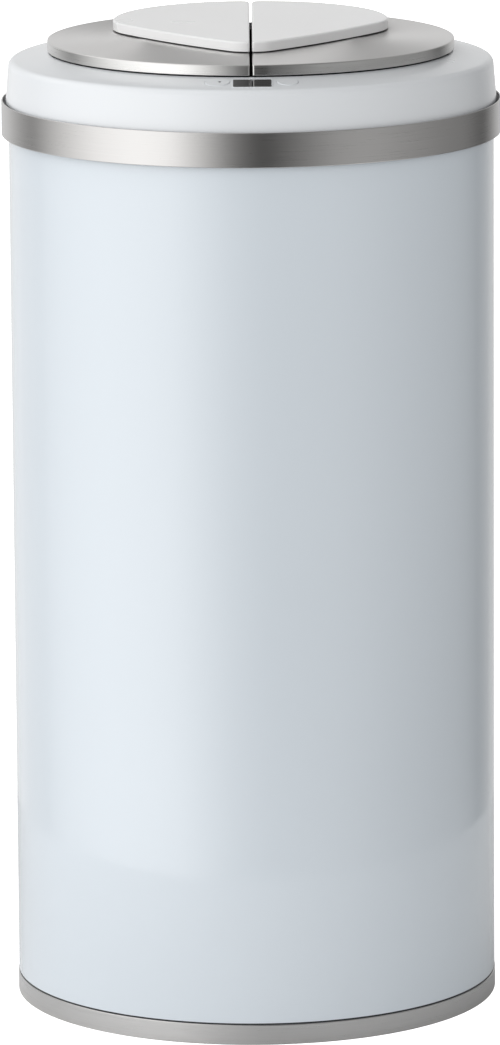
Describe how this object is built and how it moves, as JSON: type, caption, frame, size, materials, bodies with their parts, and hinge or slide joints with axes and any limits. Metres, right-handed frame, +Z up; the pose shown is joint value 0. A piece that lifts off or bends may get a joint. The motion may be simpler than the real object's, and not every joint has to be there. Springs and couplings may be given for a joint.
{
  "type": "automatic waste bin",
  "caption": "Round free-standing sensor waste bin with a painted steel tube, a lift-off head and a motorised butterfly lid.",
  "frame": {"origin": "on the floor, at the centre of the bin's foot", "axes": "+Z up along the tube's axis, -Y towards the front with the sensor window and buttons, +X to the right seen from the front"},
  "size_m": [0.325, 0.325, 0.6412],
  "materials": {
    "shell_paint": "gloss",
    "brushed_trim": "brushed",
    "brushed_disc": "brushed",
    "white_plastic": "gloss",
    "inner_plastic": "matte",
    "soft_rubber": "matte",
    "screw_steel": "plated",
    "window_gloss": "gloss",
    "board": "satin",
    "diode_plastic": "gloss",
    "light_guide": "gloss",
    "wire_jacket": "satin",
    "cell_wrap": "gloss",
    "contact_plate": "nickel",
    "motor_case": "satin",
    "shaft_steel": "ground",
    "gear_plastic": "satin"
  },
  "bodies": {
    "bin": {"body_shell": "shell_paint", "base_plate": "inner_plastic", "base_ring": "brushed_trim", "base_screws": "screw_steel", "foot_pads": "soft_rubber", "rim_collar": "inner_plastic"},
    "bag_hoop": {"bag_ring": "inner_plastic"},
    "head": {"head_cover": "white_plastic", "head_tray": "inner_plastic", "head_band": "brushed_trim", "head_screws": "screw_steel", "throat_seal": "soft_rubber", "sensor_window": "window_gloss", "control_board": "board", "ir_emitter": "diode_plastic", "ir_receiver": "diode_plastic", "status_led": "light_guide", "button_switches": "inner_plastic", "wire_harness": "wire_jacket", "battery_housing": "inner_plastic", "hinge_bracket_left": "inner_plastic", "hinge_bracket_right": "inner_plastic", "bracket_screws": "screw_steel", "gearmotor_left": "motor_case", "gearmotor_right": "motor_case", "motor_saddle_left": "inner_plastic", "motor_saddle_right": "inner_plastic"},
    "battery_drawer": {"battery_cassette": "inner_plastic", "battery_cells": "cell_wrap", "battery_contacts": "contact_plate", "battery_door": "white_plastic"},
    "power_key": {"power_button": "white_plastic"},
    "open_key": {"open_button": "white_plastic"},
    "wing_left": {"lid_disc_left": "brushed_disc", "lid_leaf_left": "white_plastic", "leaf_gasket_left": "soft_rubber", "lid_frame_left": "inner_plastic", "lid_screws_left": "screw_steel", "seam_seal_left": "soft_rubber", "hinge_shaft_left": "shaft_steel", "sector_gear_left": "gear_plastic", "shaft_clips_left": "shaft_steel"},
    "wing_right": {"lid_disc_right": "brushed_disc", "lid_leaf_right": "white_plastic", "leaf_gasket_right": "soft_rubber", "lid_frame_right": "inner_plastic", "lid_screws_right": "screw_steel", "seam_seal_right": "soft_rubber", "hinge_shaft_right": "shaft_steel", "sector_gear_right": "gear_plastic", "shaft_clips_right": "shaft_steel"},
    "drive_left": {"motor_shaft_left": "shaft_steel", "drive_pinion_left": "gear_plastic"},
    "drive_right": {"motor_shaft_right": "shaft_steel", "drive_pinion_right": "gear_plastic"}
  },
  "joints": [
    {"name": "head_lift", "type": "slide", "parent": "bin", "child": "head", "axis": [0, 0, 1], "range_m": [0, 0.12]},
    {"name": "bag_ring_lift", "type": "slide", "parent": "bin", "child": "bag_hoop", "axis": [0, 0, 1], "range_m": [0, 0.048]},
    {"name": "battery_drawer_slide", "type": "slide", "parent": "head", "child": "battery_drawer", "axis": [0, 1, 0], "range_m": [0, 0.045]},
    {"name": "power_press", "type": "slide", "parent": "head", "child": "power_key", "axis": [0.0316, 0.2055, -0.9781], "range_m": [0, 0.0008], "stiffness_N_per_m": 1000},
    {"name": "open_press", "type": "slide", "parent": "head", "child": "open_key", "axis": [-0.0341, 0.2051, -0.9781], "range_m": [0, 0.0008], "stiffness_N_per_m": 1000},
    {"name": "right_wing", "type": "hinge", "parent": "head", "child": "wing_right", "pos_m": [0.14, 0, 0.614], "axis": [0, 1, 0], "range_deg": [0, 80]},
    {"name": "left_wing", "type": "hinge", "parent": "head", "child": "wing_left", "pos_m": [-0.14, 0, 0.614], "axis": [0, -1, 0], "range_deg": [0, 80]},
    {"name": "right_pinion", "type": "hinge", "parent": "head", "child": "drive_right", "pos_m": [0.13172, 0, 0.59624], "axis": [0, 1, 0], "range_deg": [-200, 0]},
    {"name": "left_pinion", "type": "hinge", "parent": "head", "child": "drive_left", "pos_m": [-0.13172, 0, 0.59624], "axis": [0, -1, 0], "range_deg": [-200, 0]}
  ],
  "couplings": [
    {"joint": "bag_ring_lift", "follows": "head_lift", "ratio": 0.4},
    {"joint": "left_wing", "follows": "right_wing", "ratio": 1},
    {"joint": "right_pinion", "follows": "right_wing", "ratio": -2.5},
    {"joint": "left_pinion", "follows": "right_wing", "ratio": -2.5}
  ]
}
